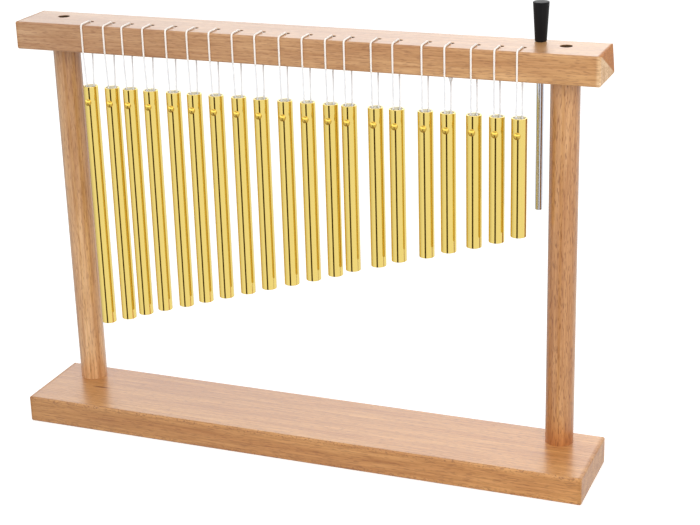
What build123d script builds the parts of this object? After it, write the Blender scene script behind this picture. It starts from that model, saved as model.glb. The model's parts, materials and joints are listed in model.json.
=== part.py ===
from build123d import *
import os
from math import cos, degrees, pi, radians, sin, tan

# Table-top bar chimes. Millimetres, +Z up, +Y to the back, +X to the right.
# The origin is the middle of the base board's underside.

# Chime tubes
TUBE_OD = 9.5
TUBE_WALL = 1.0
TUBE_RIM_CHAMFER = 0.2
LONGEST_TUBE = 162.0
TUBE_LENGTH_STEP = 4.7
TUBE_DROP = 22.2              # bar underside to a tube's top rim
TUBE_CLEARANCE = 49.4         # base top to the longest tube's lower rim
# Clear gaps between neighbouring tubes, from the left; the bar was drilled by eye.
TUBE_GAPS = [6.0, 3.5, 5.0, 6.5, 5.0, 5.5, 6.0, 5.5, 6.5, 5.5, 5.5, 2.5, 7.5, 4.0, 8.5, 4.5, 6.5, 4.5, 4.0]

# Cross rivets
RIVET_DEPTH = 10.0            # tube rim to the rivet's axis
RIVET_SHANK_D = 2.4
RIVET_HEAD_LIP = 0.9          # how far the head stands out past the shank
RIVET_HEAD_RISE = 1.5
RIVET_TAIL_LIP = 0.5
RIVET_TAIL_RISE = 0.8
RIVET_FIT = 0.05              # radial room round the shank and under the heads

# Cords
CORD_D = 1.2
CORD_SEAT = 0.05              # room between a cord and the wood it lies on
CORD_LOOP_SLACK = 0.2         # room between the loop and the rivet's shank
CORD_SETBACK = 11.0           # bar front to the cords in their holes
CORD_HOLE_ROOM = 1.0          # how much wider a hole's radius is than its cord's
CORD_HOLE_SIDE = 30.0         # how far round to the left of its hole's front a cord lies, in degrees
CORD_HOLE_ROUND = 0.55        # rounding of a hole's mouth in the bar's top

# Stand
BASE_DEPTH = 61.0
BASE_THICKNESS = 17.8
BASE_LEFT_OVERHANG = 24.0     # left post's axis to the base's left end
BASE_RIGHT_OVERHANG = 26.0
BAR_DEPTH = 35.5
BAR_THICKNESS = 17.8
BAR_LEFT_OVERHANG = 23.5
BAR_RIGHT_OVERHANG = 25.5
BAR_END_FACET = 1.5           # how far the right end is cut back at its upper back corner
EDGE_ROUND = 1.2
POST_D = 17.6
POST_BACK_MARGIN = 14.0       # posts' axes to the bar's back
LEFT_POST_GAP = 11.5          # left post to the first tube, seen from the front

# Screws
SCREW_HEAD_D = 7.0
SCREW_HEAD_HEIGHT = 2.4
SCREW_SHANK_D = 3.5
SCREW_LENGTH = 36.0           # under the head, with the tip
SCREW_TIP = 4.0
SCREW_RECESS_SPAN = 4.4
SCREW_RECESS_SLOT = 0.9
SCREW_RECESS_DEPTH = 1.3
SCREW_PILOT_FIT = 0.05        # radial room in the post
SCREW_CLEARANCE = 0.3         # radial room in the bar and the base
COUNTERBORE_ROOM = 0.3        # radial room round the screw's head
COUNTERBORE_DEPTH = 6.0

# Striker
ROD_D = 4.5
ROD_CHAMFER = 0.3
ROD_REACH = 103.0             # handle's foot to the rod's lower end
ROD_SOCKET_DEPTH = 15.0
ROD_SOCKET_FIT = 0.05
STRIKER_HOLE_FIT = 0.25       # radial room in the bar
STRIKER_STEP = 5.7            # last tube's axis to the striker's axis
STRIKER_POST_GAP = 6.2        # rod to the right post, seen from the front
STRIKER_BACK_MARGIN = 6.0     # striker's axis to the bar's back
HANDLE_FOOT_WALL = 1.25       # handle round the rod at its foot
HANDLE_FLARE = 1.4            # how far the top stands out past the foot
HANDLE_HEIGHT = 23.5
HANDLE_FOOT_ROUND = 0.8
HANDLE_TOP_ROUND = 0.5

# Heights
TUBE_TOP = BASE_THICKNESS + TUBE_CLEARANCE + LONGEST_TUBE
BAR_UNDERSIDE = TUBE_TOP + TUBE_DROP
STAND_HEIGHT = BAR_UNDERSIDE + BAR_THICKNESS
RIVET_HEIGHT = TUBE_TOP - RIVET_DEPTH
BAR_SCREW_SEAT = STAND_HEIGHT - COUNTERBORE_DEPTH
BASE_SCREW_SEAT = COUNTERBORE_DEPTH

# Places from left to right
CHIME_COUNT = len(TUBE_GAPS) + 1
ROW_LENGTH = sum(TUBE_GAPS) + TUBE_OD * len(TUBE_GAPS)
LEFT_POST_STEP = TUBE_OD / 2 + LEFT_POST_GAP + POST_D / 2
RIGHT_POST_STEP = STRIKER_STEP + ROD_D / 2 + STRIKER_POST_GAP + POST_D / 2
POST_SPAN = LEFT_POST_STEP + ROW_LENGTH + RIGHT_POST_STEP
BASE_LENGTH = BASE_LEFT_OVERHANG + POST_SPAN + BASE_RIGHT_OVERHANG
BAR_LENGTH = BAR_LEFT_OVERHANG + POST_SPAN + BAR_RIGHT_OVERHANG
LEFT_POST_X = BASE_LEFT_OVERHANG - BASE_LENGTH / 2
RIGHT_POST_X = LEFT_POST_X + POST_SPAN
POST_XS = (LEFT_POST_X, RIGHT_POST_X)
BAR_LEFT_END = LEFT_POST_X - BAR_LEFT_OVERHANG
BAR_RIGHT_END = RIGHT_POST_X + BAR_RIGHT_OVERHANG
FIRST_CHIME_X = LEFT_POST_X + LEFT_POST_STEP
STRIKER_X = FIRST_CHIME_X + ROW_LENGTH + STRIKER_STEP
CHIME_XS = [FIRST_CHIME_X + sum(TUBE_GAPS[:i]) + TUBE_OD * i for i in range(CHIME_COUNT)]

# Places from front to back; the bar's back is flush with the base's
BAR_BACK = BASE_DEPTH / 2
BAR_FRONT = BAR_BACK - BAR_DEPTH
BAR_MIDDLE = (BAR_FRONT + BAR_BACK) / 2
POST_Y = BAR_BACK - POST_BACK_MARGIN
STRIKER_Y = BAR_BACK - STRIKER_BACK_MARGIN
CORD_BACK_Y = BAR_FRONT + CORD_SETBACK
CORD_HOLE_STEP = (CORD_HOLE_ROOM - CORD_SEAT) * sin(radians(CORD_HOLE_SIDE))    # the cord lies on its hole's wall
CORD_HOLE_Y = CORD_BACK_Y + (CORD_HOLE_ROOM - CORD_SEAT) * cos(radians(CORD_HOLE_SIDE))
CORD_FRONT_Y = BAR_FRONT - CORD_SEAT - CORD_D / 2
CHIME_Y = (CORD_FRONT_Y + CORD_BACK_Y) / 2

UP = (Align.CENTER, Align.CENTER, Align.MIN)
DOWN = (Align.CENTER, Align.CENTER, Align.MAX)


def cylinder_up(x, y, z, diameter, height):
    """Upright cylinder standing on a point."""
    return Pos(x, y, z) * Cylinder(diameter / 2, height, align=UP)


def screw_way(x, y, seat_z, turned):
    """Clearance hole and counterbore of one screw, whose head sits at seat_z."""
    hole = Cylinder(SCREW_SHANK_D / 2 + SCREW_CLEARANCE, SCREW_LENGTH, align=DOWN)
    bore = Cylinder(SCREW_HEAD_D / 2 + COUNTERBORE_ROOM, COUNTERBORE_DEPTH, align=UP)
    return Pos(x, y, seat_z) * (Rot(180 if turned else 0, 0, 0) * (hole + bore))


def screw(x, y, seat_z, turned):
    """Wood screw with a cross recess, head seated at seat_z and shank pointing down, or up if turned."""
    head = Cylinder(SCREW_HEAD_D / 2, SCREW_HEAD_HEIGHT, align=UP)
    for angle in (0, 90):
        slot = Box(SCREW_RECESS_SPAN, SCREW_RECESS_SLOT, SCREW_RECESS_DEPTH, align=DOWN)
        head -= Pos(0, 0, SCREW_HEAD_HEIGHT) * Rot(0, 0, angle) * slot
    straight = SCREW_LENGTH - SCREW_TIP
    shank = Cylinder(SCREW_SHANK_D / 2, straight, align=DOWN)
    tip = Pos(0, 0, -straight) * Rot(180, 0, 0) * Cone(SCREW_SHANK_D / 2, 0, SCREW_TIP, align=UP)
    return Pos(x, y, seat_z) * (Rot(180 if turned else 0, 0, 0) * (head + shank + tip))


def base_board():
    """Flat board with two screw ways from below."""
    board = Box(BASE_LENGTH, BASE_DEPTH, BASE_THICKNESS, align=UP)
    board = fillet(board.edges(), EDGE_ROUND)
    for x in POST_XS:
        board -= screw_way(x, POST_Y, BASE_SCREW_SEAT, True)
    return board


def post(x):
    """Round dowel with a pilot hole for a screw in each end."""
    dowel = cylinder_up(x, POST_Y, BASE_THICKNESS, POST_D, BAR_UNDERSIDE - BASE_THICKNESS)
    pilot_d = SCREW_SHANK_D + 2 * SCREW_PILOT_FIT
    base_pilot = SCREW_LENGTH - (BASE_THICKNESS - COUNTERBORE_DEPTH)
    bar_pilot = SCREW_LENGTH - (BAR_THICKNESS - COUNTERBORE_DEPTH)
    dowel -= cylinder_up(x, POST_Y, BASE_THICKNESS, pilot_d, base_pilot)
    dowel -= cylinder_up(x, POST_Y, BAR_UNDERSIDE - bar_pilot, pilot_d, bar_pilot)
    return dowel


def top_bar():
    """Bar with its cord holes, screw ways and striker hole, and its right end faceted."""
    bar = Pos((BAR_LEFT_END + BAR_RIGHT_END) / 2, BAR_MIDDLE, BAR_UNDERSIDE) * Box(
        BAR_LENGTH, BAR_DEPTH, BAR_THICKNESS, align=UP
    )
    front_top = Vector(BAR_RIGHT_END, BAR_FRONT, STAND_HEIGHT)
    back_foot = Vector(BAR_RIGHT_END, BAR_BACK, BAR_UNDERSIDE)
    back_top = Vector(BAR_RIGHT_END - BAR_END_FACET, BAR_BACK, STAND_HEIGHT)
    facet = Plane(origin=front_top, z_dir=(back_foot - front_top).cross(back_top - front_top))
    bar = split(fillet(bar.edges(), EDGE_ROUND), bisect_by=facet, keep=Keep.BOTTOM)
    cord_hole_d = CORD_D + 2 * CORD_HOLE_ROOM
    for x in CHIME_XS:
        bar -= cylinder_up(x + CORD_HOLE_STEP, CORD_HOLE_Y, BAR_UNDERSIDE, cord_hole_d, BAR_THICKNESS)
    mouths = bar.edges().filter_by(GeomType.CIRCLE).filter_by_position(Axis.Z, STAND_HEIGHT, STAND_HEIGHT)
    bar = fillet(mouths, CORD_HOLE_ROUND)
    for x in POST_XS:
        bar -= screw_way(x, POST_Y, BAR_SCREW_SEAT, False)
    striker_hole_d = ROD_D + 2 * STRIKER_HOLE_FIT
    bar -= cylinder_up(STRIKER_X, STRIKER_Y, BAR_UNDERSIDE, striker_hole_d, BAR_THICKNESS)
    return bar


def striker_rod():
    """Steel rod, from its lower end up into the handle's socket."""
    length = ROD_REACH + ROD_SOCKET_DEPTH
    rod = cylinder_up(STRIKER_X, STRIKER_Y, STAND_HEIGHT - ROD_REACH, ROD_D, length)
    return chamfer(rod.edges(), ROD_CHAMFER)


def striker_handle():
    """Tapered handle, wider at its top, with a socket for the rod in its foot."""
    foot_radius = ROD_D / 2 + HANDLE_FOOT_WALL
    handle = Cone(foot_radius, foot_radius + HANDLE_FLARE, HANDLE_HEIGHT, align=UP)
    rims = handle.edges().filter_by(GeomType.CIRCLE).sort_by(Axis.Z)
    handle = fillet(rims[:1], min(HANDLE_FOOT_ROUND, 0.8 * HANDLE_FOOT_WALL))
    rims = handle.edges().filter_by(GeomType.CIRCLE).sort_by(Axis.Z)
    handle = fillet(rims[-1:], HANDLE_TOP_ROUND)
    handle -= Cylinder(ROD_D / 2 + ROD_SOCKET_FIT, ROD_SOCKET_DEPTH, align=UP)
    return Pos(STRIKER_X, STRIKER_Y, STAND_HEIGHT) * handle


def chime_tube(length):
    """Open tube hanging down from its rim at the origin, cross-drilled for its rivet."""
    tube = Cylinder(TUBE_OD / 2, length, align=DOWN)
    tube = chamfer(tube.edges().filter_by(GeomType.CIRCLE), min(TUBE_RIM_CHAMFER, 0.5 * TUBE_WALL))
    tube -= Cylinder(TUBE_OD / 2 - TUBE_WALL, length, align=DOWN)
    rivet_hole = Rot(90, 0, 0) * Cylinder(RIVET_SHANK_D / 2 + RIVET_FIT, 2 * TUBE_OD)
    return tube - Pos(0, 0, -RIVET_DEPTH) * rivet_hole


def rivet_end(lip, rise):
    """Domed rivet end on +Z, standing on the tube's wall and hollowed to fit round it."""
    radius = RIVET_SHANK_D / 2 + lip
    dome_radius = (radius**2 + rise**2) / (2 * rise)
    crown = TUBE_OD / 2 + rise
    dome = Pos(0, 0, crown - dome_radius) * Sphere(dome_radius)
    dome = dome & Cylinder(radius, crown, align=UP)
    tube_body = Rot(90, 0, 0) * Cylinder(TUBE_OD / 2 + RIVET_FIT, 2 * TUBE_OD)
    return dome - tube_body


def cross_rivet():
    """Rivet through a tube whose rim is at the origin, with its head to the front."""
    shank = Cylinder(RIVET_SHANK_D / 2, TUBE_OD + 4 * RIVET_FIT)
    head = rivet_end(RIVET_HEAD_LIP, RIVET_HEAD_RISE)
    tail = Rot(180, 0, 0) * rivet_end(RIVET_TAIL_LIP, RIVET_TAIL_RISE)
    return Pos(0, 0, -RIVET_DEPTH) * Rot(90, 0, 0) * (shank + head + tail)


def cord(name, points, bends):
    """Round cord along straight runs with a bend of the given radius at each corner."""
    route = FilletPolyline(*points, radius=bends)
    section = Plane(origin=route @ 0, z_dir=route % 0) * Circle(CORD_D / 2)
    body = sweep(section, path=route)
    ratio = body.volume / (pi * CORD_D**2 / 4 * route.length)
    radii = ", ".join(f"{bend:.2f}" for bend in bends)
    print(f"{name}: {route.length:.1f} mm long, bend radii {radii}, volume ratio {ratio:.4f}")
    return body


def cord_wrap():
    """The still part of a cord: up through its hole, over the bar and down the front."""
    top = STAND_HEIGHT + CORD_SEAT + CORD_D / 2
    points = [
        (0, CORD_BACK_Y, BAR_UNDERSIDE),
        (0, CORD_BACK_Y, top),
        (0, CORD_FRONT_Y, top),
        (0, CORD_FRONT_Y, BAR_UNDERSIDE),
    ]
    bends = [rounding + CORD_SEAT + CORD_D / 2 for rounding in (CORD_HOLE_ROUND, EDGE_ROUND)]
    return cord("cord wrap", points, bends)


def hanging_cord():
    """The swinging part of a cord: from the bar's front under the rivet's shank and up to the hole."""
    loop = RIVET_SHANK_D / 2 + CORD_LOOP_SLACK + CORD_D / 2
    front = Vector(0, CORD_FRONT_Y, BAR_UNDERSIDE)
    left = Vector(-loop, CHIME_Y, RIVET_HEIGHT - loop)
    right = Vector(loop, CHIME_Y, RIVET_HEIGHT - loop)
    back = Vector(0, CORD_BACK_Y, BAR_UNDERSIDE)
    half_turn = radians((left - front).get_angle(right - left)) / 2
    bend = 0.95 * loop / tan(half_turn)
    print(f"hanging cord turns {2 * degrees(half_turn):.0f} degrees at each side of its rivet")
    above_front = front + (front - left).normalized() * CORD_D
    above_back = back + (back - right).normalized() * CORD_D
    body = cord("hanging cord", [above_front, left, right, above_back], [bend, bend])
    return split(body, bisect_by=Plane.XY.offset(BAR_UNDERSIDE), keep=Keep.BOTTOM)


wrap = cord_wrap()
loop = hanging_cord()
nodes = {
    "base_board": base_board(),
    "left_post": post(LEFT_POST_X),
    "right_post": post(RIGHT_POST_X),
    "top_bar": top_bar(),
    "bar_screws": Compound([screw(x, POST_Y, BAR_SCREW_SEAT, False) for x in POST_XS]),
    "base_screws": Compound([screw(x, POST_Y, BASE_SCREW_SEAT, True) for x in POST_XS]),
    "striker_rod": striker_rod(),
    "striker_handle": striker_handle(),
    "cord_wraps": Compound([Pos(x, 0, 0) * wrap for x in CHIME_XS]),
}
for number, x in enumerate(CHIME_XS, start=1):
    length = LONGEST_TUBE - TUBE_LENGTH_STEP * (number - 1)
    rim = Pos(x, CHIME_Y, TUBE_TOP)
    nodes[f"chime_tube_{number:02d}"] = Compound([rim * chime_tube(length), rim * cross_rivet()])
    nodes[f"hanging_cord_{number:02d}"] = Pos(x, 0, 0) * loop

os.makedirs("parts", exist_ok=True)
for name, shape in nodes.items():
    export_step(shape, f"parts/{name}.step")
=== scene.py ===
"""Table-top bar chimes: tubes, cords, striker, finishes and studio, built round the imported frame."""

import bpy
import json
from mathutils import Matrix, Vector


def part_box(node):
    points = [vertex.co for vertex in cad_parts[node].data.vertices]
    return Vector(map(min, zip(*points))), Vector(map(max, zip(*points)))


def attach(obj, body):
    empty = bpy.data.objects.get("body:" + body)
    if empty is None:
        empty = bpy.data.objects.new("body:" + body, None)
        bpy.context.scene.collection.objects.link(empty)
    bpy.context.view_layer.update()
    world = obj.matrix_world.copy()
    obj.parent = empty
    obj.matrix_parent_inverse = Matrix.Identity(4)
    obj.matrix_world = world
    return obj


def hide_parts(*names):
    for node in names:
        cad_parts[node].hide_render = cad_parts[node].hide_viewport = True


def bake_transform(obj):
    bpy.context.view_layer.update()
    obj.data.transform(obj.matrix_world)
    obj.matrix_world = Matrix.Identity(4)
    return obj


bl_info = {
    "name": "Table-top bar chimes",
    "version": (1, 0, 0),
    "blender": (4, 5, 0),
    "location": "3D View > Sidebar > Bar chimes",
    "description": "Builds a beech stand with graded gold tubes on cord loops, and its striker",
    "category": "Add Mesh",
}

import json
from math import asin, cos, pi, radians, sin

import bmesh
import bpy
from bpy.props import FloatProperty, FloatVectorProperty, IntProperty, PointerProperty
from mathutils import Matrix, Vector

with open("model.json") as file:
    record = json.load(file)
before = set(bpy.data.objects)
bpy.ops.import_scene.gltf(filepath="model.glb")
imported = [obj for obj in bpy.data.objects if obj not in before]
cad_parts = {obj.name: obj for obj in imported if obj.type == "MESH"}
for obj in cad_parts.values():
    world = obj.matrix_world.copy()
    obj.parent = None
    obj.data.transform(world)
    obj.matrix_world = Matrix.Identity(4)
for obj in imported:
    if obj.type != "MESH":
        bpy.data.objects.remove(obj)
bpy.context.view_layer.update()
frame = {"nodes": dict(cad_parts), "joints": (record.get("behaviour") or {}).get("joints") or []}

MM = 0.001
# Vertices nearer than this are merged.
MERGE = 0.001 * MM
# Edges steeper than this are bevelled, and stay sharp on a cord.
STEEP = radians(60)
# Edges steeper than this stay sharp on the other pieces.
CREASE = radians(32)

# Places read from the frame
CHIMES = sorted(name[-2:] for name in frame["nodes"] if name.startswith("chime_tube_"))
SWINGS = [joint for joint in frame["joints"] if "side_swing" in joint["name"]]
PIVOTS = {swing["name"][-2:]: Vector(swing["pos_m"]) for swing in SWINGS}
BAR_LOW, BAR_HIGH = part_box("top_bar")
BASE_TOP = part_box("base_board")[1].z
ROD_LOW, ROD_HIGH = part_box("striker_rod")
HANDLE_LOW, HANDLE_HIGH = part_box("striker_handle")
WRAP_LOW, WRAP_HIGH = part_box("cord_wraps")
# A cord lies this far clear of the bar.
CORD_CLEARANCE = 0.05 * MM
CORD_D = WRAP_HIGH.z - BAR_HIGH.z - CORD_CLEARANCE
CORD_FRONT_Y = WRAP_LOW.y + CORD_D / 2
CORD_BACK_Y = WRAP_HIGH.y - CORD_D / 2
CORD_TOP_Z = WRAP_HIGH.z - CORD_D / 2
# The cord whose knot hangs below the bar
KNOTTED = "17"


def linear_rgb(hex_colour):
    """An sRGB hex value as linear red, green and blue."""
    channels = [int(hex_colour[i : i + 2], 16) / 255 for i in (0, 2, 4)]
    return tuple(c / 12.92 if c <= 0.04045 else ((c + 0.055) / 1.055) ** 2.4 for c in channels)


def length(name, description, millimetres):
    """A length that a user may change, with its default given in millimetres."""
    return FloatProperty(name=name, description=description, default=millimetres * MM, min=0.0, unit="LENGTH")


def colour(name, description, hex_colour):
    """A colour that a user may change, with its default given as an sRGB hex value."""
    return FloatVectorProperty(
        name=name, description=description, default=linear_rgb(hex_colour), subtype="COLOR", min=0.0, max=1.0
    )


class StandFinish(bpy.types.PropertyGroup):
    """Wood and screws of the stand."""

    bar_left: colour("Bar, left", "Beech of the top bar at its left end", "BC9066")
    bar_right: colour("Bar, right", "Beech of the top bar at its right end", "CD9961")
    base_left: colour("Base, left", "Beech of the base board at its left end", "BC8549")
    base_right: colour("Base, right", "Beech of the base board at its right end", "CF9354")
    left_foot: colour("Left post, foot", "Beech of the left post at its foot", "DFB17E")
    left_head: colour("Left post, head", "Beech of the left post at its head", "C09161")
    right_foot: colour("Right post, foot", "Beech of the right post at its foot", "C48C55")
    right_head: colour("Right post, head", "Beech of the right post at its head", "CC9762")
    fleck_length: length("Fleck length", "Length of the dark ray flecks along the grain", 5.0)
    fleck_width: length("Fleck width", "Width of the dark ray flecks", 0.6)
    zinc: colour("Screw plating", "Dark zinc plate of the screws", "5A5856")


class TubeFinish(bpy.types.PropertyGroup):
    """Gold tubes and their cross rivets."""

    wall: length("Wall", "Thickness of a tube's wall", 1.0)
    rim_bevel: length("Rim bevel", "Bevel on the edges of a tube's rims", 0.2)
    facets: IntProperty(name="Facets", description="Faces round a tube", default=72, min=12)
    rivet_depth: length("Rivet depth", "From a tube's rim down to the rivet's axis", 10.0)
    shank: length("Shank diameter", "Diameter of the rivet's shank", 2.4)
    head: length("Head diameter", "Diameter of the rivet's domed head", 4.2)
    head_rise: length("Head rise", "Height of the domed head", 1.5)
    head_wall: length("Head wall", "Straight wall under the domed head", 0.4)
    tail: length("Tail diameter", "Diameter of the rivet's set tail", 3.4)
    tail_rise: length("Tail rise", "Height of the set tail", 0.8)
    gold: colour("Gold", "Dyed oxide on the bright aluminium", "F0D67B")
    rivet_gold: colour("Rivet gold", "Dyed oxide on the rivets", "D8B654")
    # Nearly white: painted light that lifts the shade inside the tubes
    bore_painted_light: colour("Bore", "Dull oxide inside the tubes", "FFF8E2")


class CordFinish(bpy.types.PropertyGroup):
    """White cords."""

    lay: length("Lay", "Length of one turn of the twisted strands", 3.6)
    loop_half_width: length("Loop half width", "Half the loop's width under the rivet", 2.0)
    near_hole: length("Near the hole", "How near its hole or its rivet a cord leaves its straight run", 3.6)
    near_edge: length("Near the edge", "How near the bar's front edge a cord leaves its straight run", 4.5)
    knot: length("Knot", "Width of the knot under the bar", 3.4)
    knot_height: length("Knot height", "Height of the knot with its taper", 6.0)
    # Warmer than the hanging cord: painted warm light bounced from the wood
    nylon: colour("Nylon on the bar", "Bleached nylon yarn where it lies on the wood", "F8F1EA")
    hanging_nylon: colour("Hanging nylon", "Bleached nylon yarn where it hangs free", "F6F8FB")


class StrikerFinish(bpy.types.PropertyGroup):
    """Steel rod and black handle of the striker."""

    foot: length("Foot diameter", "Diameter of the handle at its foot", 7.0)
    foot_round: length("Foot rounding", "Rounding of the handle's foot", 0.8)
    top_round: length("Top rounding", "Rounding of the handle's top edge", 0.5)
    rod_bevel: length("Rod bevel", "Bevel on the rod's ends", 0.3)
    steel: colour("Steel", "Bright steel of the rod", "D4D7E0")
    plastic: colour("Plastic", "Black plastic of the handle", "131315")


class StudioSetting(bpy.types.PropertyGroup):
    """Camera, floor and light."""

    eye: FloatVectorProperty(
        name="Camera place",
        description="Where the camera stands",
        default=(0.40066, -0.91727, 0.49240),
        subtype="XYZ",
        unit="LENGTH",
    )
    aim: FloatVectorProperty(
        name="Camera turn",
        description="How the camera is turned",
        default=(radians(69.7895), radians(1.5482), radians(21.3676)),
        subtype="EULER",
    )
    lens: FloatProperty(name="Lens", description="Focal length in millimetres", default=87.024, min=1.0)
    shift: FloatVectorProperty(
        name="Camera shift",
        description="Shift of the picture as a share of its width",
        default=(0.0048, -0.0016),
        size=2,
    )
    world_light: FloatProperty(
        name="World light", description="Strength of the white surroundings", default=0.72
    )
    key_power: FloatProperty(
        name="Key light", description="Power of the front softbox", default=18.5, subtype="POWER"
    )
    top_power: FloatProperty(
        name="Top light", description="Power of the softbox overhead", default=3.0, subtype="POWER"
    )


class BarChimesSettings(bpy.types.PropertyGroup):
    """All sizes and colours of the bar chimes."""

    stand: PointerProperty(type=StandFinish)
    tubes: PointerProperty(type=TubeFinish)
    cords: PointerProperty(type=CordFinish)
    striker: PointerProperty(type=StrikerFinish)
    studio: PointerProperty(type=StudioSetting)


def add_node(tree, kind, inputs=None, **settings):
    """Adds a node, sets its own settings, and sets or links its inputs."""
    node = tree.nodes.new(kind)
    for name, value in settings.items():
        setattr(node, name, value)
    for name, value in (inputs or {}).items():
        if isinstance(value, bpy.types.NodeSocket):
            tree.links.new(value, node.inputs[name])
        else:
            node.inputs[name].default_value = value
    return node


def blank_material(name):
    """A new material with an empty node tree."""
    material = bpy.data.materials.new(name)
    material.use_nodes = True
    material.node_tree.nodes.clear()
    return material, material.node_tree


def shaded(rgb, factor):
    """A darker or lighter tone of a colour."""
    return tuple(min(1.0, channel * factor) for channel in rgb) + (1.0,)


# Height over which a post's foot is painted with the base's orange reflection and with shade
FOOT_PAINTED_LIGHT_HEIGHT = 22 * MM
# Distances from the bar's right end between which the painted light and shade of its facets come in
FACETS_FROM, FACETS_TO = 3 * MM, 1.6 * MM
# Width of the soft line between the two facets, as a share of the bar's end
FACETS_BLUR = 0.05
# Border inside a board's sides that isn't shaded as a hole, because it holds the rounded edges
RIM = 3 * MM
# Where the end grain begins, as a share of a board's half length without its rim
END_FROM = 1.001
# Share of its tone that the wood keeps in a drilled hole, as painted shade
HOLE_PAINTED_SHADE = 0.12
# Colour of ray flecks, pits and grain marks
FLECK_BROWN = (*linear_rgb("7A4420"), 1.0)


def grain_patterns(tree, along, flecks, seed):
    """The wood's patterns, stretched along the grain, as values from 0 to 1."""
    # Length along the grain and width across it in millimetres, detail, and the noise values that it spans
    patterns = {
        "figure": (150, 9, 3.0, 0.32, 0.68),
        "streak": (32, 1.2, 5.0, 0.3, 0.7),
        "fleck": (*flecks, 1.0, 0.54, 0.66),
        "pore": (2.4, 0.4, 2.0, 0.35, 0.65),
        "pit": (1.8, 0.9, 1.0, 0.56, 0.66),
    }
    # No two boards show the same stretch of a pattern.
    shift = [seed * step for step in (7.3, 3.1, 5.7)]
    value = {}
    for pattern, (run, width, detail, least, most) in patterns.items():
        scale = (1 / (run * MM), 1 / (width * MM), 1 / (width * MM))
        stretch = add_node(tree, "ShaderNodeMapping", {"Vector": along, "Scale": scale, "Location": shift})
        noise = add_node(
            tree, "ShaderNodeTexNoise", {"Vector": stretch.outputs[0], "Scale": 1.0, "Detail": detail}
        )
        clear = add_node(
            tree, "ShaderNodeMapRange", {"Value": noise.outputs[0], "From Min": least, "From Max": most}
        )
        value[pattern] = clear.outputs[0]
    return value


def foot_painted_reflection_and_shade(tree, drift, height, depth):
    """Where a post's foot is painted with the base's orange reflection and with shade at the joint, and the
    tint of that painted light.
    """
    deep = add_node(
        tree,
        "ShaderNodeMapRange",
        {"Value": drift, "From Max": FOOT_PAINTED_LIGHT_HEIGHT / height, "To Min": depth, "To Max": 0.0},
        interpolation_type="SMOOTHSTEP",
    )
    return deep.outputs[0], (0.9, 0.62, 0.36, 1.0)


def facets_painted_light_and_shade(tree, along, run, low, high, depth):
    """Where the two facets on the bar's right end lie, and the light and shade painted on them.

    A painted reflection pales the front facet, and painted shade darkens the facet above a line from the
    upper front corner to the lower back one.
    """
    span = high - low
    rise = add_node(
        tree,
        "ShaderNodeVectorMath",
        {0: along, 1: (0.0, 1 / span.y, 1 / span.z)},
        operation="DOT_PRODUCT",
    )
    line = low.y / span.y + high.z / span.z
    above = add_node(
        tree,
        "ShaderNodeMapRange",
        {"Value": rise.outputs["Value"], "From Min": line, "From Max": line + FACETS_BLUR},
    )
    deep = add_node(
        tree,
        "ShaderNodeMapRange",
        {"Value": run, "From Min": high.x - FACETS_FROM, "From Max": high.x - FACETS_TO, "To Max": depth},
    )
    # Painted reflection pales the front facet, and painted shade darkens the one above the line.
    tint = add_node(
        tree,
        "ShaderNodeMix",
        {0: above.outputs[0], 6: (1.3, 1.65, 2.4, 1.0), 7: (0.8, 0.53, 0.16, 1.0)},
        data_type="RGBA",
    )
    return deep.outputs[0], tint.outputs[2]


def board_sides(tree, place, low, high):
    """How far out a point lies along each axis of its board, and the lengths that this is a share of.

    It is 0 at the middle, and 1 on the top, on the underside and a rim's width inside the sides.
    """
    half = (high - low) / 2 - Vector((RIM, RIM, 0.0))
    middle = (low + high) / 2
    scale = [1 / side for side in half]
    shift = [-m * s for m, s in zip(middle, scale)]
    inside = add_node(tree, "ShaderNodeMapping", {"Vector": place, "Location": shift, "Scale": scale})
    sides = add_node(tree, "ShaderNodeVectorMath", {0: inside.outputs[0]}, operation="ABSOLUTE")
    out = add_node(tree, "ShaderNodeSeparateXYZ", {"Vector": sides.outputs[0]})
    return out.outputs, half


def hole_shade_and_end_grain_tone(tree, out, hole_shade, end_tone):
    """Share of its tone that the wood keeps: less in the drilled holes, where shade is painted, and on the
    end grain.
    """
    flat = add_node(tree, "ShaderNodeMath", {0: out["X"], 1: out["Y"]}, operation="MAXIMUM")
    outermost = add_node(tree, "ShaderNodeMath", {0: flat.outputs[0], 1: out["Z"]}, operation="MAXIMUM")
    # Painted shade in the holes, away from the board's outer faces
    open_air = add_node(
        tree,
        "ShaderNodeMapRange",
        {"Value": outermost.outputs[0], "From Min": 0.95, "From Max": 0.99, "To Min": hole_shade},
    )
    end_grain = add_node(
        tree,
        "ShaderNodeMapRange",
        {"Value": out["X"], "From Min": END_FROM, "From Max": 1.013, "To Min": 1.0, "To Max": end_tone},
    )
    tone = add_node(
        tree, "ShaderNodeMath", {0: open_air.outputs[0], 1: end_grain.outputs[0]}, operation="MULTIPLY"
    )
    return tone.outputs[0]


def edge_pits(tree, out, half, pattern, depth):
    """Small pits where the long edges have chipped."""
    beside = add_node(
        tree,
        "ShaderNodeMapRange",
        {"Value": out["Y"], "From Min": 1.0, "From Max": 1 + 2 * MM / half.y},
    )
    near_top = add_node(
        tree,
        "ShaderNodeMapRange",
        {"Value": out["Z"], "From Min": 1 - 4 * MM / half.z, "From Max": 1 - 1 * MM / half.z},
    )
    edge = add_node(
        tree, "ShaderNodeMath", {0: beside.outputs[0], 1: near_top.outputs[0]}, operation="MULTIPLY"
    )
    pitted = add_node(tree, "ShaderNodeMath", {0: pattern, 1: edge.outputs[0]}, operation="MULTIPLY")
    pits = add_node(tree, "ShaderNodeMath", {0: pitted.outputs[0], 1: depth}, operation="MULTIPLY")
    return pits.outputs[0]


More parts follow.
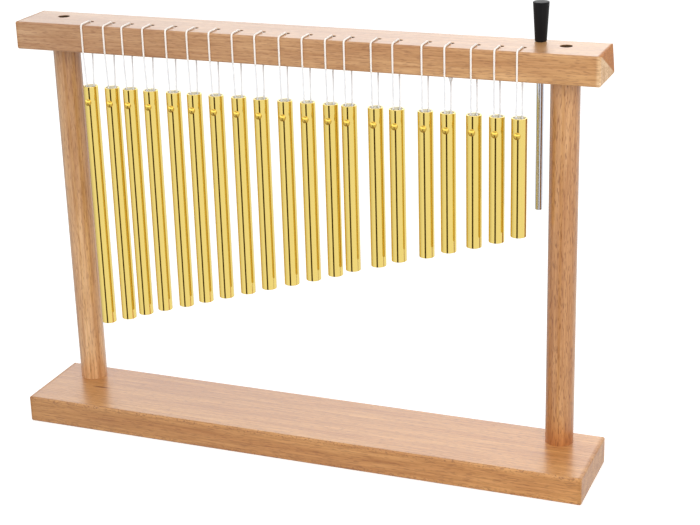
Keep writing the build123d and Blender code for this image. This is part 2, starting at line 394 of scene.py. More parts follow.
def grain_mark(tree, place, centre, reach):
    """One dark grain mark, from its centre and its half length, half width and depth."""
    off = add_node(tree, "ShaderNodeVectorMath", {0: place, 1: centre}, operation="SUBTRACT")
    share = add_node(tree, "ShaderNodeVectorMath", {0: off.outputs[0], 1: reach}, operation="DIVIDE")
    far = add_node(tree, "ShaderNodeVectorMath", {0: share.outputs[0]}, operation="LENGTH")
    dark = add_node(
        tree,
        "ShaderNodeMapRange",
        {"Value": far.outputs["Value"], "From Min": 0.5, "To Min": 1.0, "To Max": 0.0},
    )
    return dark.outputs[0]


def varnished_beech(
    node,
    flecks,
    tones,
    seed,
    fleck_depth,
    gloss,
    upright=False,
    foot_painted_light_depth=0.0,
    end_tone=1.0,
    end_coat=1.0,
    facet_painted_light_depth=0.0,
    pit_depth=0.0,
    mark=None,
):
    """Planed beech under clear varnish.

    The wood drifts in tone along the board and has long faint streaks and short dark ray flecks along the
    grain. The varnish lies smooth over it, so the eye gets a clear reflection at low angles and the wood's
    own colour from straight on. The finest flecks are drawn wider than the real ones, which are under a
    pixel.
    """
    material, tree = blank_material(f"beech_planed_and_varnished_{node}")
    low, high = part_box(node)
    ends = (low.z, high.z) if upright else (low.x, high.x)
    place = add_node(tree, "ShaderNodeTexCoord").outputs["Object"]
    # The grain runs along the pattern's X axis, so an upright board's pattern is turned.
    turn = (0.0, radians(90) if upright else 0.0, 0.0)
    along = add_node(tree, "ShaderNodeMapping", {"Vector": place, "Rotation": turn}).outputs[0]
    run = add_node(tree, "ShaderNodeSeparateXYZ", {"Vector": along}).outputs["X"]
    drift = add_node(tree, "ShaderNodeMapRange", {"Value": run, "From Min": ends[0], "From Max": ends[1]})
    value = grain_patterns(tree, along, flecks, seed)
    drifted = add_node(
        tree,
        "ShaderNodeMix",
        {0: drift.outputs[0], 6: (*tones[0], 1.0), 7: (*tones[1], 1.0)},
        data_type="RGBA",
    )
    wood = drifted.outputs[2]
    # Each pattern darkens and reddens the wood towards its first tint and pales it towards its second.
    tints = {
        "figure": ((0.84, 0.75, 0.67, 1.0), (1.1, 1.16, 1.24, 1.0)),
        "streak": ((0.77, 0.68, 0.57, 1.0), (1.11, 1.16, 1.24, 1.0)),
    }
    for pattern, (dark, pale) in tints.items():
        tint = add_node(tree, "ShaderNodeMix", {0: value[pattern], 6: dark, 7: pale}, data_type="RGBA")
        tinted = add_node(
            tree,
            "ShaderNodeMix",
            {0: 1.0, 6: wood, 7: tint.outputs[2]},
            data_type="RGBA",
            blend_type="MULTIPLY",
        )
        wood = tinted.outputs[2]
    # A post's foot is darkened and reddened by painted reflection and painted shade from the base board.
    if upright:
        share, tint = foot_painted_reflection_and_shade(tree, drift.outputs[0], high.z - low.z, foot_painted_light_depth)
    else:
        # The bar's right end gets painted reflection and painted shade on its two facets.
        share, tint = facets_painted_light_and_shade(tree, along, run, low, high, facet_painted_light_depth)
    with_painted_light = add_node(
        tree, "ShaderNodeMix", {0: share, 6: wood, 7: tint}, data_type="RGBA", blend_type="MULTIPLY"
    )
    out, half = board_sides(tree, place, low, high)
    # Painted shade darkens the drilled holes in the lying boards.
    tone = hole_shade_and_end_grain_tone(tree, out, 1.0 if upright else HOLE_PAINTED_SHADE, end_tone)
    dimmed = add_node(
        tree, "ShaderNodeVectorMath", {0: with_painted_light.outputs[2], "Scale": tone}, operation="SCALE"
    )
    # Varnish soaks into the end grain and leaves it duller.
    coat = add_node(
        tree,
        "ShaderNodeMapRange",
        {"Value": out["X"], "From Min": END_FROM, "From Max": 1.008, "To Min": 1.0, "To Max": end_coat},
    )
    stain = add_node(tree, "ShaderNodeMath", {0: value["fleck"], 1: fleck_depth}, operation="MULTIPLY")
    blemishes = []
    if pit_depth:
        blemishes.append(edge_pits(tree, out, half, value["pit"], pit_depth))
    if mark:
        blemishes.append(grain_mark(tree, place, *mark))
    for blemish in blemishes:
        stain = add_node(tree, "ShaderNodeMath", {0: stain.outputs[0], 1: blemish}, operation="MAXIMUM")
    flecked = add_node(
        tree,
        "ShaderNodeMix",
        {0: stain.outputs[0], 6: dimmed.outputs[0], 7: FLECK_BROWN},
        data_type="RGBA",
    )
    rough = add_node(tree, "ShaderNodeMapRange", {"Value": value["pore"], "To Min": 0.42, "To Max": 0.6})
    bump = add_node(
        tree, "ShaderNodeBump", {"Strength": 0.3, "Distance": 0.08 * MM, "Height": value["pore"]}
    )
    shader = add_node(
        tree,
        "ShaderNodeBsdfPrincipled",
        {
            "Base Color": flecked.outputs[2],
            "Roughness": rough.outputs[0],
            "Specular IOR Level": 0.25,
            "Normal": bump.outputs[0],
            "Coat Weight": coat.outputs[0],
            "Coat Roughness": gloss,
            "Coat IOR": 1.5,
        },
    )
    add_node(tree, "ShaderNodeOutputMaterial", {"Surface": shader.outputs[0]})
    return material


def fine_marks(tree, across, along, detail):
    """Fine lines, clouds or grain on a surface, from their size in millimetres across and along Z."""
    place = add_node(tree, "ShaderNodeTexCoord")
    scale = (1 / (across * MM), 1 / (across * MM), 1 / (along * MM))
    stretch = add_node(tree, "ShaderNodeMapping", {"Vector": place.outputs["Object"], "Scale": scale})
    noise = add_node(
        tree, "ShaderNodeTexNoise", {"Vector": stretch.outputs[0], "Scale": 1.0, "Detail": detail}
    )
    return noise.outputs[0]


def gold_anodised_aluminium(making, gold, roughest):
    """Bright-dipped aluminium, drawn as a tube or headed as a rivet, then anodised and dyed gold.

    It mirrors its surroundings in gold, a little blurred along fine lines left by the making. The real
    lines are finer than a pixel, so they are drawn 0.7 mm wide.
    """
    material, tree = blank_material(f"gold_anodised_aluminium_{making}")
    lines = fine_marks(tree, across=0.7, along=60, detail=3.0)
    tint = add_node(
        tree, "ShaderNodeMix", {0: lines, 6: shaded(gold, 0.95), 7: shaded(gold, 1.05)}, data_type="RGBA"
    )
    rough = add_node(
        tree,
        "ShaderNodeMapRange",
        {"Value": lines, "From Min": 0.3, "From Max": 0.7, "To Min": 0.55 * roughest, "To Max": roughest},
    )
    shader = add_node(
        tree,
        "ShaderNodeBsdfPrincipled",
        {"Base Color": tint.outputs[2], "Metallic": 1.0, "Roughness": rough.outputs[0]},
    )
    add_node(tree, "ShaderNodeOutputMaterial", {"Surface": shader.outputs[0]})
    return material


def dull_aluminium_painted_light(finish):
    """Inside of a drawn tube, never polished: dull and clouded, with no clear reflection; its nearly white
    colour is painted light that lifts the shade inside the tube.
    """
    material, tree = blank_material("gold_anodised_aluminium_dull")
    clouds = fine_marks(tree, across=2, along=2, detail=3.0)
    tint = add_node(
        tree,
        "ShaderNodeMix",
        {0: clouds, 6: shaded(finish.bore_painted_light, 0.9), 7: shaded(finish.bore_painted_light, 1.05)},
        data_type="RGBA",
    )
    shader = add_node(
        tree,
        "ShaderNodeBsdfPrincipled",
        {"Base Color": tint.outputs[2], "Metallic": 0.1, "Roughness": 0.6},
    )
    add_node(tree, "ShaderNodeOutputMaterial", {"Surface": shader.outputs[0]})
    return material


def polished_steel(finish):
    """Ground and polished steel rod: a clear grey mirror with faint grinding lines round it."""
    material, tree = blank_material("steel_ground_and_polished")
    lines = fine_marks(tree, across=6, along=0.5, detail=3.0)
    tint = add_node(
        tree,
        "ShaderNodeMix",
        {0: lines, 6: shaded(finish.steel, 0.92), 7: shaded(finish.steel, 1.06)},
        data_type="RGBA",
    )
    rough = add_node(tree, "ShaderNodeMapRange", {"Value": lines, "To Min": 0.12, "To Max": 0.26})
    shader = add_node(
        tree,
        "ShaderNodeBsdfPrincipled",
        {"Base Color": tint.outputs[2], "Metallic": 1.0, "Roughness": rough.outputs[0]},
    )
    add_node(tree, "ShaderNodeOutputMaterial", {"Surface": shader.outputs[0]})
    return material


def zinc_plated_steel(finish):
    """Dark zinc plate on a screw: dull grey metal, clouded by the plating's crystals."""
    material, tree = blank_material("steel_zinc_plated_dark")
    clouds = fine_marks(tree, across=1.5, along=1.5, detail=3.0)
    tint = add_node(
        tree,
        "ShaderNodeMix",
        {0: clouds, 6: shaded(finish.zinc, 0.75), 7: shaded(finish.zinc, 1.25)},
        data_type="RGBA",
    )
    rough = add_node(tree, "ShaderNodeMapRange", {"Value": clouds, "To Min": 0.35, "To Max": 0.55})
    shader = add_node(
        tree,
        "ShaderNodeBsdfPrincipled",
        {"Base Color": tint.outputs[2], "Metallic": 1.0, "Roughness": rough.outputs[0]},
    )
    add_node(tree, "ShaderNodeOutputMaterial", {"Surface": shader.outputs[0]})
    return material


def moulded_black_plastic(finish):
    """Injection-moulded black plastic: nearly black, with a soft sheen broken by the mould's fine grain."""
    material, tree = blank_material("black_plastic_moulded")
    grain = fine_marks(tree, across=0.5, along=0.5, detail=2.0)
    flow = fine_marks(tree, across=1.2, along=30, detail=2.0)
    tint = add_node(
        tree,
        "ShaderNodeMix",
        {0: flow, 6: shaded(finish.plastic, 0.7), 7: shaded(finish.plastic, 1.6)},
        data_type="RGBA",
    )
    rough = add_node(tree, "ShaderNodeMapRange", {"Value": grain, "To Min": 0.36, "To Max": 0.56})
    bump = add_node(tree, "ShaderNodeBump", {"Strength": 0.3, "Distance": 0.05 * MM, "Height": grain})
    shader = add_node(
        tree,
        "ShaderNodeBsdfPrincipled",
        {
            "Base Color": tint.outputs[2],
            "Roughness": rough.outputs[0],
            "Specular IOR Level": 0.14,
            "Normal": bump.outputs[0],
        },
    )
    add_node(tree, "ShaderNodeOutputMaterial", {"Surface": shader.outputs[0]})
    return material


def twisted_nylon(stretch, white):
    """Bleached nylon yarn, twisted: soft white, shaded in the grooves between strands, with a faint sheen."""
    material, tree = blank_material(f"nylon_cord_twisted_{stretch}")
    fibres = fine_marks(tree, across=0.4, along=0.4, detail=3.0)
    tint = add_node(
        tree, "ShaderNodeMix", {0: fibres, 6: shaded(white, 0.94), 7: shaded(white, 1.04)}, data_type="RGBA"
    )
    bump = add_node(tree, "ShaderNodeBump", {"Strength": 0.3, "Distance": 0.05 * MM, "Height": fibres})
    shader = add_node(
        tree,
        "ShaderNodeBsdfPrincipled",
        {
            "Base Color": tint.outputs[2],
            "Roughness": 0.6,
            "Normal": bump.outputs[0],
            "Subsurface Weight": 0.6,
            "Subsurface Radius": (1.0, 1.0, 1.0),
            "Subsurface Scale": 0.6 * MM,
        },
    )
    add_node(tree, "ShaderNodeOutputMaterial", {"Surface": shader.outputs[0]})
    return material


def new_piece(name, mesh, slot, *materials):
    """Puts a finished mesh into the scene as a piece with its materials; its record slot is not used."""
    for material in materials:
        mesh.materials.append(material)
    piece = bpy.data.objects.new(name, mesh)
    bpy.context.scene.collection.objects.link(piece)
    # Keeps a long face's shading flat up to a small bevel beside it.
    normals = piece.modifiers.new("weighted_normals", "WEIGHTED_NORMAL")
    normals.keep_sharp = True
    return piece


def smooth_mesh(name, bm):
    """Turns a bmesh into a mesh that is smooth apart from its sharp edges."""
    bmesh.ops.recalc_face_normals(bm, faces=bm.faces[:])
    mesh = bpy.data.meshes.new(name)
    bm.to_mesh(mesh)
    bm.free()
    mesh.polygons.foreach_set("use_smooth", [True] * len(mesh.polygons))
    mesh.set_sharp_from_angle(angle=CREASE)
    return mesh


def sharp_edges(bm, angle):
    """The edges of a bmesh whose faces meet at more than an angle."""
    return [edge for edge in bm.edges if edge.calc_face_angle(0.0) > angle]


def bevel_edges(bm, edges, width, segments):
    """Rounds edges off by a width."""
    bmesh.ops.bevel(
        bm,
        geom=edges,
        offset=width,
        affect="EDGES",
        segments=segments,
        profile=0.5,
        material=-1,
        clamp_overlap=True,
    )


def dress_node(node, material):
    """Gives a node of the frame its finish."""
    materials = frame["nodes"][node].data.materials
    materials.clear()
    materials.append(material)


class BARCHIMES_OT_finish_stand(bpy.types.Operator):
    """Give the stand its wood and its screws their plating."""

    bl_idname = "barchimes.finish_stand"
    bl_label = "Finish the stand"

    def execute(self, context):
        finish = context.scene.bar_chimes.stand
        flecks = (finish.fleck_length / MM, finish.fleck_width / MM)
        boards = {
            "top_bar": dict(
                tones=(finish.bar_left, finish.bar_right),
                seed=1,
                fleck_depth=0.42,
                gloss=0.3,
                end_coat=0.0,
                facet_painted_light_depth=1.0,
            ),
            "base_board": dict(
                tones=(finish.base_left, finish.base_right),
                seed=2,
                fleck_depth=0.4,
                gloss=0.27,
                end_tone=0.85,
                end_coat=0.5,
                pit_depth=0.7,
                mark=((-151 * MM, -1.6 * MM, BASE_TOP), (7.5 * MM, 1.5 * MM, 2 * MM)),
            ),
            "left_post": dict(
                tones=(finish.left_foot, finish.left_head),
                seed=3,
                fleck_depth=0.4,
                gloss=0.2,
                upright=True,
                foot_painted_light_depth=0.3,
            ),
            "right_post": dict(
                tones=(finish.right_foot, finish.right_head),
                seed=4,
                fleck_depth=0.6,
                gloss=0.2,
                upright=True,
                foot_painted_light_depth=0.75,
            ),
        }
        for board, look in boards.items():
            dress_node(board, varnished_beech(board, flecks, **look))
        zinc = zinc_plated_steel(finish)
        for screws in ("bar_screws", "base_screws"):
            dress_node(screws, zinc)
        return {"FINISHED"}


def round_wall(axis, foot_z, head_z, foot, head, segments, closed):
    """A bmesh of a round wall on an upright axis, from its foot's radius to its head's."""
    bm = bmesh.new()
    bmesh.ops.create_cone(
        bm,
        cap_ends=closed,
        segments=segments,
        radius1=foot,
        radius2=head,
        depth=head_z - foot_z,
        matrix=Matrix.Translation((axis.x, axis.y, (foot_z + head_z) / 2)),
    )
    return bm


def turned(outline, steps):
    """A bmesh of an outline turned about Z, given as distances from the axis and heights along it."""
    bm = bmesh.new()
    verts = [bm.verts.new((reach, 0.0, along)) for reach, along in outline]
    edges = [bm.edges.new(pair) for pair in zip(verts, verts[1:])]
    bmesh.ops.spin(
        bm, geom=verts + edges, cent=(0, 0, 0), axis=(0, 0, 1), angle=2 * pi, steps=steps, use_merge=True
    )
    bmesh.ops.remove_doubles(bm, verts=bm.verts[:], dist=MERGE)
    return bm


def dome(reach, rise, crown, steps=8):
    """Outline of a dome from its crown to its rim, as distances from the axis and heights along it."""
    ball = (reach**2 + rise**2) / (2 * rise)
    half_turn = asin(reach / ball)
    turns = [half_turn * i / steps for i in range(steps + 1)]
    return [(ball * sin(turn), crown - ball * (1 - cos(turn))) for turn in turns]


def tube_mesh(number, finish):
    """Open tube with bevelled rims."""
    low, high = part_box(f"chime_tube_{number}")
    axis = PIVOTS[number]
    radius = (high.x - low.x) / 2
    bm = round_wall(axis, low.z, high.z, radius, radius, finish.facets, closed=False)
    bmesh.ops.solidify(bm, geom=bm.faces[:], thickness=finish.wall)
    bevel_edges(bm, sharp_edges(bm, STEEP), finish.rim_bevel, segments=2)
    for face in bm.faces:
        # The tube's second material is the one inside it.
        reach = (face.calc_center_median() - axis).xy.length
        face.material_index = int(reach < radius - 0.75 * finish.wall)
    return smooth_mesh(f"tube_{number}", bm)


def rivet_mesh(number, finish):
    """Cross rivet: domed head in front, shank through the tube, low set tail behind."""
    low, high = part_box(f"chime_tube_{number}")
    axis = PIVOTS[number]
    radius = (high.x - low.x) / 2
    sunk = radius - finish.wall / 2
    shank = finish.shank / 2
    tail = dome(finish.tail / 2, finish.tail_rise, radius + finish.tail_rise)
    outline = dome(finish.head / 2, finish.head_rise - finish.head_wall, radius + finish.head_rise)
    outline += [(finish.head / 2, sunk), (shank, sunk), (shank, -sunk), (finish.tail / 2, -sunk)]
    outline += [(reach, -along) for reach, along in reversed(tail)]
    bm = turned(outline, steps=40)
    # Turned so that the head, made on top, faces the front
    lie = Matrix.Rotation(radians(90), 4, "X")
    place = Matrix.Translation((axis.x, axis.y, high.z - finish.rivet_depth))
    bmesh.ops.transform(bm, matrix=place @ lie, verts=bm.verts[:])
    return smooth_mesh(f"rivet_{number}", bm)


class BARCHIMES_OT_hang_tubes(bpy.types.Operator):
    """Make the gold tubes and the rivets through them."""

    bl_idname = "barchimes.hang_tubes"
    bl_label = "Hang the tubes"

    def execute(self, context):
        finish = context.scene.bar_chimes.tubes
        drawn = gold_anodised_aluminium("drawn", finish.gold, roughest=0.11)
        headed = gold_anodised_aluminium("headed", finish.rivet_gold, roughest=0.26)
        # The inside of each tube is lifted with painted light.
        bore_painted_light = dull_aluminium_painted_light(finish)
        for number in CHIMES:
            tube = new_piece(f"tube_{number}", tube_mesh(number, finish), "gold_tube", drawn, bore_painted_light)
            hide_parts(f"chime_tube_{number}")
            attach(tube, f"chime_{number}")
            rivet = new_piece(f"rivet_{number}", rivet_mesh(number, finish), "gold_tube", headed)
            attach(rivet, f"chime_{number}")
        return {"FINISHED"}


def cord_section():
    """Cross-section of three strands laid together, as a closed curve."""
    curve = bpy.data.curves.new("cord_section", "CURVE")
    spline = curve.splines.new("POLY")
    strands, corners, groove = 3, 18, 0.07
    spline.points.add(corners - 1)
    for i, point in enumerate(spline.points):
        turn = 2 * pi * i / corners
        reach = CORD_D / 2 * (1 - groove * (1 - cos(strands * turn)))
        point.co = (reach * cos(turn), reach * sin(turn), 0.0, 1.0)
    spline.use_cyclic_u = True
    section = bpy.data.objects.new("cord_section", curve)
    bpy.context.scene.collection.objects.link(section)
    return section


def lay_cord(name, route, section, lay):
    """The mesh of a twisted cord on a smooth line along its route, and the points of that line."""
    curve = bpy.data.curves.new(name, "CURVE")
    curve.dimensions = "3D"
    curve.resolution_u = 64
    spline = curve.splines.new("NURBS")
    spline.points.add(len(route) - 1)
    run = 0.0
    for i, point in enumerate(spline.points):
        run += (Vector(route[i]) - Vector(route[i - 1])).length if i else 0.0
        point.co = (*route[i], 1.0)
        point.tilt = 2 * pi * run / lay
    spline.order_u = 3
    spline.use_endpoint_u = True
    holder = bpy.data.objects.new(name, curve)
    bpy.context.scene.collection.objects.link(holder)
    bare = bpy.data.meshes.new_from_object(holder)
    line = [vertex.co.copy() for vertex in bare.vertices]
    bpy.data.meshes.remove(bare)
    curve.bevel_mode = "OBJECT"
    curve.bevel_object = section
    curve.use_fill_caps = True
    shown = holder.evaluated_get(bpy.context.evaluated_depsgraph_get())
    mesh = bpy.data.meshes.new_from_object(shown)
    mesh.name = name
    bpy.data.curves.remove(curve)
    bm = bmesh.new()
    bm.from_mesh(mesh)
    bmesh.ops.remove_doubles(bm, verts=bm.verts[:], dist=MERGE)
    bmesh.ops.recalc_face_normals(bm, faces=bm.faces[:])
    bm.to_mesh(mesh)
    bm.free()
    mesh.polygons.foreach_set("use_smooth", [True] * len(mesh.polygons))
    mesh.set_sharp_from_angle(angle=STEEP)
    return mesh, line


def knot_mesh(name, place, finish):
    """Overhand knot drawn tight: a round lump that tapers down its cord."""
    half, tall = finish.knot / 2, finish.knot_height
    outline = [(0.0, 0.0), (0.6 * half, 0.0), (half, -0.2 * tall), (0.85 * half, -0.45 * tall)]
    outline += [(CORD_D / 2, -0.85 * tall), (0.4 * CORD_D, -tall), (0.0, -tall)]
    bm = turned(outline, steps=16)
    bmesh.ops.transform(bm, matrix=Matrix.Translation(place), verts=bm.verts[:])
    return smooth_mesh(name, bm)


class BARCHIMES_OT_string_cords(bpy.types.Operator):
    """Lay each tube's cord out of its hole, over the bar, down its front and round under the rivet."""

    bl_idname = "barchimes.string_cords"
    bl_label = "String the cords"

    def execute(self, context):
        finish = context.scene.bar_chimes.cords
        rivet_depth = context.scene.bar_chimes.tubes.rivet_depth
        # The cord on the bar takes a warmer colour than the hanging cord: painted warm light bounced from the
        # wood.
        cord_with_painted_warmth = twisted_nylon("on_bar_painted_warm", finish.nylon)
        hanging = twisted_nylon("hanging", finish.hanging_nylon)
        section = cord_section()
        near, near_edge = finish.near_hole, finish.near_edge
        under, top, front, back = BAR_LOW.z, CORD_TOP_Z, CORD_FRONT_Y, CORD_BACK_Y
        # Rise over the hole's rim, stretch of cord under the bar, and drop of the knot
        rise, bend, knot_drop = 0.2 * MM, 12 * MM, 0.4 * MM
        for number in CHIMES:
            x, y, _ = PIVOTS[number]
            wrap_route = [
                (x, back, under),
                (x, back, top - near),
                (x, back, top + rise),
                (x, back - near, top),
                (x, front + near_edge, top),
                (x, front, top),
                (x, front, top - near_edge),
                (x, front, under),
            ]
            mesh, _ = lay_cord(f"cord_over_bar_{number}", wrap_route, section, finish.lay)
            wrap = new_piece(mesh.name, mesh, "white_cord", cord_with_painted_warmth)
            if number == CHIMES[0]:
                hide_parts("cord_wraps")
            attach(wrap, "frame")

            turn_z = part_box(f"chime_tube_{number}")[1].z - rivet_depth - finish.loop_half_width
            start, end = Vector((x, front, under)), Vector((x, back, under))
            left = Vector((x - finish.loop_half_width, y, turn_z))
            right = Vector((x + finish.loop_half_width, y, turn_z))
            loop_route = [
                start,
                left + (start - left).normalized() * near,
                left,
                right,
                right + (end - right).normalized() * near,
                end,
            ]
            mesh, line = lay_cord(f"cord_loop_{number}", loop_route, section, finish.lay)
            loop = new_piece(mesh.name, mesh, "white_cord", hanging)
            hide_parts(f"hanging_cord_{number}")
            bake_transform(loop)
            if number == KNOTTED:
                # The knot sits on the back strand, just under the bar.
                place = end + (right - end).normalized() * knot_drop
                knot = new_piece("cord_knot", knot_mesh("cord_knot", place, finish), "white_cord", hanging)
                rounded = knot.modifiers.new("rounded", "SUBSURF")
                rounded.levels = rounded.render_levels = 2
                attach(knot, f"hanger_{number}")
        bpy.data.objects.remove(section)
        return {"FINISHED"}


class BARCHIMES_OT_make_striker(bpy.types.Operator):
    """Make the steel rod and its black handle."""

    bl_idname = "barchimes.make_striker"
    bl_label = "Make the striker"

    def execute(self, context):
        finish = context.scene.bar_chimes.striker
        axis = (ROD_LOW + ROD_HIGH) / 2
        radius = (ROD_HIGH.x - ROD_LOW.x) / 2
        bm = round_wall(axis, ROD_LOW.z, ROD_HIGH.z, radius, radius, segments=64, closed=True)
        bevel_edges(bm, sharp_edges(bm, STEEP), finish.rod_bevel, segments=2)
        rod_mesh = smooth_mesh("striker_rod_polished", bm)
        rod = new_piece(rod_mesh.name, rod_mesh, "striker_steel", polished_steel(finish))
        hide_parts("striker_rod")
        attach(rod, "striker")

        foot, top = finish.foot / 2, (HANDLE_HIGH.x - HANDLE_LOW.x) / 2
        bm = round_wall(axis, HANDLE_LOW.z, HANDLE_HIGH.z, foot, top, segments=96, closed=True)
        rims = sharp_edges(bm, STEEP)
        halfway = (HANDLE_LOW.z + HANDLE_HIGH.z) / 2
        feet = [edge for edge in rims if edge.verts[0].co.z < halfway]
        tops = [edge for edge in rims if edge.verts[0].co.z > halfway]
        bevel_edges(bm, tops, finish.top_round, segments=4)
        bevel_edges(bm, feet, finish.foot_round, segments=4)
        handle_mesh = smooth_mesh("striker_handle_moulded", bm)
        handle = new_piece(handle_mesh.name, handle_mesh, "handle_black", moulded_black_plastic(finish))
        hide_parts("striker_handle")
        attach(handle, "striker")
        return {"FINISHED"}


def mirrored_white(tree):
    """Colour of the surroundings in reflections: white that changes with height and side.

    A narrow dark brown card stands low down in front of the stand and draws the dark line down each polished
    tube.
    """
    place = add_node(tree, "ShaderNodeTexCoord")
    axes = add_node(tree, "ShaderNodeSeparateXYZ", {"Vector": place.outputs["Generated"]}).outputs
    ahead = add_node(tree, "ShaderNodeMath", {0: axes["Y"], 1: -1.0}, operation="MULTIPLY")
    turn = add_node(tree, "ShaderNodeMath", {0: axes["X"], 1: ahead.outputs[0]}, operation="ARCTAN2")
    azimuth = turn.outputs[0]
    # Heights, from straight down at -1 to straight up at 1, and how bright the white is there
    stops = ((-0.8, 0.6), (-0.5, 1.0), (0.05, 1.0), (0.2, 1.4), (0.42, 2.5), (0.55, 2.25), (0.8, 0.9))
    brightest = max(tone for _, tone in stops)
    level = add_node(tree, "ShaderNodeMapRange", {"Value": axes["Z"], "From Min": -1.0})
    heights = add_node(tree, "ShaderNodeValToRGB", {0: level.outputs[0]})
    for height, tone in stops:
        element = heights.color_ramp.elements.new((height + 1) / 2)
        element.color = (tone / brightest, tone / brightest, tone / brightest, 1.0)
    heights.color_ramp.elements[0].color = heights.color_ramp.elements[1].color
    heights.color_ramp.elements[-1].color = heights.color_ramp.elements[-2].color
    # Low down on the left it is greyer.
    left, right = radians(-115), radians(-40)
    side = add_node(
        tree,
        "ShaderNodeMapRange",
        {"Value": azimuth, "From Min": left, "From Max": right, "To Min": 0.58, "To Max": 1.0},
    )
    raised = add_node(tree, "ShaderNodeMapRange", {"Value": axes["Z"], "From Min": -0.05, "From Max": 0.05})
    # Behind the stand, the white overhead is brighter to the right.
    rightward = add_node(
        tree,
        "ShaderNodeMapRange",
        {"Value": axes["X"], "From Min": -0.55, "From Max": -0.25, "To Min": 0.88, "To Max": 1.14},
    )
    behind = add_node(tree, "ShaderNodeMapRange", {"Value": axes["Y"], "From Min": 0.35, "From Max": 0.7})
    overhead = add_node(
        tree, "ShaderNodeMix", {0: behind.outputs[0], 2: 1.0, 3: rightward.outputs[0]}, data_type="FLOAT"
    )
    shade = add_node(
        tree,
        "ShaderNodeMix",
        {0: raised.outputs[0], 2: side.outputs[0], 3: overhead.outputs[0]},
        data_type="FLOAT",
    )
    full = add_node(tree, "ShaderNodeMath", {0: shade.outputs[0], 1: brightest}, operation="MULTIPLY")
    white = add_node(
        tree, "ShaderNodeMath", {0: heights.outputs[0], 1: full.outputs[0]}, operation="MULTIPLY"
    )
    # The card's middle, and how far from it on each side the card ends and the white is clear
    middle, card, clear = radians(-3), radians(9.5), radians(13.5)
    apart = add_node(tree, "ShaderNodeMath", {0: azimuth, 1: middle}, operation="SUBTRACT")
    aside = add_node(tree, "ShaderNodeMath", {0: apart.outputs[0]}, operation="ABSOLUTE")
    clear_aside = add_node(
        tree,
        "ShaderNodeMapRange",
        {"Value": aside.outputs[0], "From Min": card, "From Max": clear},
        interpolation_type="SMOOTHSTEP",
    )
    clear_above = add_node(
        tree, "ShaderNodeMapRange", {"Value": axes["Z"], "From Min": -0.12, "From Max": -0.02}
    )
    clear_of_card = add_node(
        tree, "ShaderNodeMath", {0: clear_aside.outputs[0], 1: clear_above.outputs[0]}, operation="MAXIMUM"
    )
    colour_there = add_node(
        tree,
        "ShaderNodeMix",
        {0: clear_of_card.outputs[0], 6: (0.06, 0.035, 0.0, 1.0), 7: white.outputs[0]},
        data_type="RGBA",
    )
    return colour_there.outputs[2]


def studio_world(studio):
    """White surroundings: full white to the camera, softer as light, and with a card in reflections."""
    world = bpy.data.worlds.new("white_studio")
    world.use_nodes = True
    tree = world.node_tree
    tree.nodes.clear()
    rays = add_node(tree, "ShaderNodeLightPath")
    light = add_node(tree, "ShaderNodeBackground", {"Color": (1, 1, 1, 1), "Strength": studio.world_light})
    seen = add_node(tree, "ShaderNodeBackground", {"Color": (1, 1, 1, 1), "Strength": 1.0})
    mirrored = add_node(tree, "ShaderNodeBackground", {"Color": mirrored_white(tree), "Strength": 1.0})
    shiny = add_node(
        tree,
        "ShaderNodeMixShader",
        {0: rays.outputs["Is Glossy Ray"], 1: light.outputs[0], 2: mirrored.outputs[0]},
    )
    clear = add_node(
        tree,
        "ShaderNodeMath",
        {0: rays.outputs["Is Camera Ray"], 1: rays.outputs["Is Transmission Ray"]},
        operation="MAXIMUM",
    )
    surface = add_node(
        tree, "ShaderNodeMixShader", {0: clear.outputs[0], 1: shiny.outputs[0], 2: seen.outputs[0]}
    )
    add_node(tree, "ShaderNodeOutputWorld", {"Surface": surface.outputs[0]})
    return world


def white_floor_material():
    """Matt white paper, lifted to full white for the camera so that only the shadow shows on it."""
    material, tree = blank_material("paper_matt_white")
    rays = add_node(tree, "ShaderNodeLightPath")
    paper = add_node(tree, "ShaderNodeBsdfDiffuse", {"Color": (0.86, 0.86, 0.86, 1.0)})
    lift = add_node(
        tree, "ShaderNodeMath", {0: rays.outputs["Is Camera Ray"], 1: 0.45}, operation="MULTIPLY"
    )
    glow = add_node(tree, "ShaderNodeEmission", {"Color": (1, 1, 1, 1), "Strength": lift.outputs[0]})
    surface = add_node(tree, "ShaderNodeAddShader", {0: paper.outputs[0], 1: glow.outputs[0]})
    add_node(tree, "ShaderNodeOutputMaterial", {"Surface": surface.outputs[0]})
    return material


def softbox(name, place, target, size, power):
    """A soft rectangular lamp that points at a target."""
    lamp = bpy.data.lights.new(name, "AREA")
    lamp.shape = "RECTANGLE"
    lamp.size, lamp.size_y = size
    lamp.energy = power
    holder = bpy.data.objects.new(name, lamp)
    holder.location = place
    holder.rotation_euler = (Vector(target) - Vector(place)).to_track_quat("-Z", "Y").to_euler()
    # The varnish mirrors the white surroundings alone, so no lamp burns its flat tops out from behind.
    holder.visible_glossy = False
    bpy.context.scene.collection.objects.link(holder)


# Half the side of the floor in metres
FLOOR_HALF = 6.0


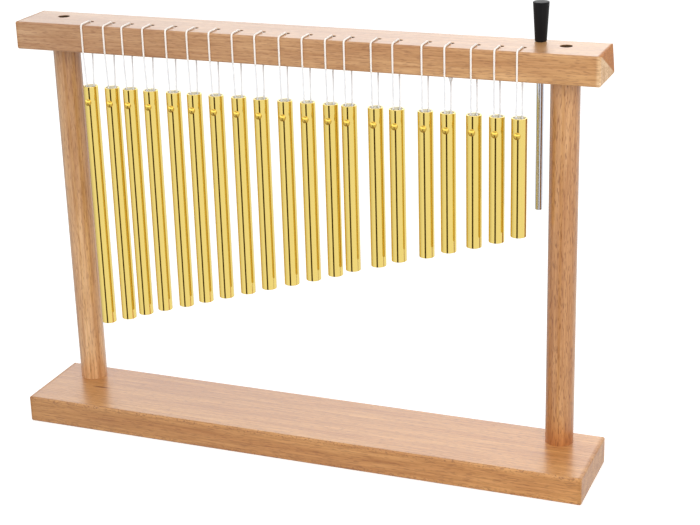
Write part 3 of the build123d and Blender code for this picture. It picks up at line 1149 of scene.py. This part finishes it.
class BARCHIMES_OT_set_stage(bpy.types.Operator):
    """Set the camera, the floor, the surroundings and the lamps."""

    bl_idname = "barchimes.set_stage"
    bl_label = "Set the stage"

    def execute(self, context):
        studio = context.scene.bar_chimes.studio
        bm = bmesh.new()
        bmesh.ops.create_grid(bm, x_segments=1, y_segments=1, size=FLOOR_HALF)
        mesh = bpy.data.meshes.new("floor")
        bm.to_mesh(mesh)
        bm.free()
        mesh.materials.append(white_floor_material())
        floor = bpy.data.objects.new("floor", mesh)
        context.scene.collection.objects.link(floor)
        floor.visible_glossy = False

        context.scene.world = studio_world(studio)
        softbox(
            "front_softbox",
            place=(1.0, -1.5, 1.3),
            target=(0.0, 0.0, 0.15),
            size=(1.4, 1.2),
            power=studio.key_power,
        )
        softbox(
            "top_softbox",
            place=(-0.2, 0.1, 1.7),
            target=(0.0, 0.0, 0.1),
            size=(1.6, 1.2),
            power=studio.top_power,
        )

        lens = bpy.data.cameras.new("camera")
        lens.sensor_fit = "HORIZONTAL"
        lens.sensor_width = 36.0
        lens.lens = studio.lens
        lens.shift_x, lens.shift_y = studio.shift
        camera = bpy.data.objects.new("camera", lens)
        camera.location = studio.eye
        camera.rotation_euler = studio.aim
        context.scene.collection.objects.link(camera)
        context.scene.camera = camera
        context.scene.view_settings.view_transform = "Standard"
        return {"FINISHED"}


class BARCHIMES_PT_panel(bpy.types.Panel):
    """Sizes, colours and steps of the bar chimes."""

    bl_idname = "BARCHIMES_PT_panel"
    bl_label = "Bar chimes"
    bl_space_type = "VIEW_3D"
    bl_region_type = "UI"
    bl_category = "Bar chimes"

    def draw(self, context):
        settings = context.scene.bar_chimes
        for group, operator in STEPS:
            box = self.layout.box()
            part = getattr(settings, group)
            for name in part.__annotations__:
                box.prop(part, name)
            box.operator(operator.bl_idname)


# Settings group and operator of each step, in the order in which they run
STEPS = (
    ("studio", BARCHIMES_OT_set_stage),
    ("cords", BARCHIMES_OT_string_cords),
    ("tubes", BARCHIMES_OT_hang_tubes),
    ("striker", BARCHIMES_OT_make_striker),
    ("stand", BARCHIMES_OT_finish_stand),
)
GROUPS = (StandFinish, TubeFinish, CordFinish, StrikerFinish, StudioSetting, BarChimesSettings)
CLASSES = (*GROUPS, *(operator for _, operator in STEPS), BARCHIMES_PT_panel)


def register():
    for cls in CLASSES:
        bpy.utils.register_class(cls)
    bpy.types.Scene.bar_chimes = PointerProperty(type=BarChimesSettings)


def unregister():
    del bpy.types.Scene.bar_chimes
    for cls in reversed(CLASSES):
        bpy.utils.unregister_class(cls)


def main():
    register()
    bpy.ops.barchimes.set_stage()
    bpy.ops.barchimes.string_cords()
    bpy.ops.barchimes.hang_tubes()
    bpy.ops.barchimes.make_striker()
    bpy.ops.barchimes.finish_stand()


if __name__ == "__main__":
    main()
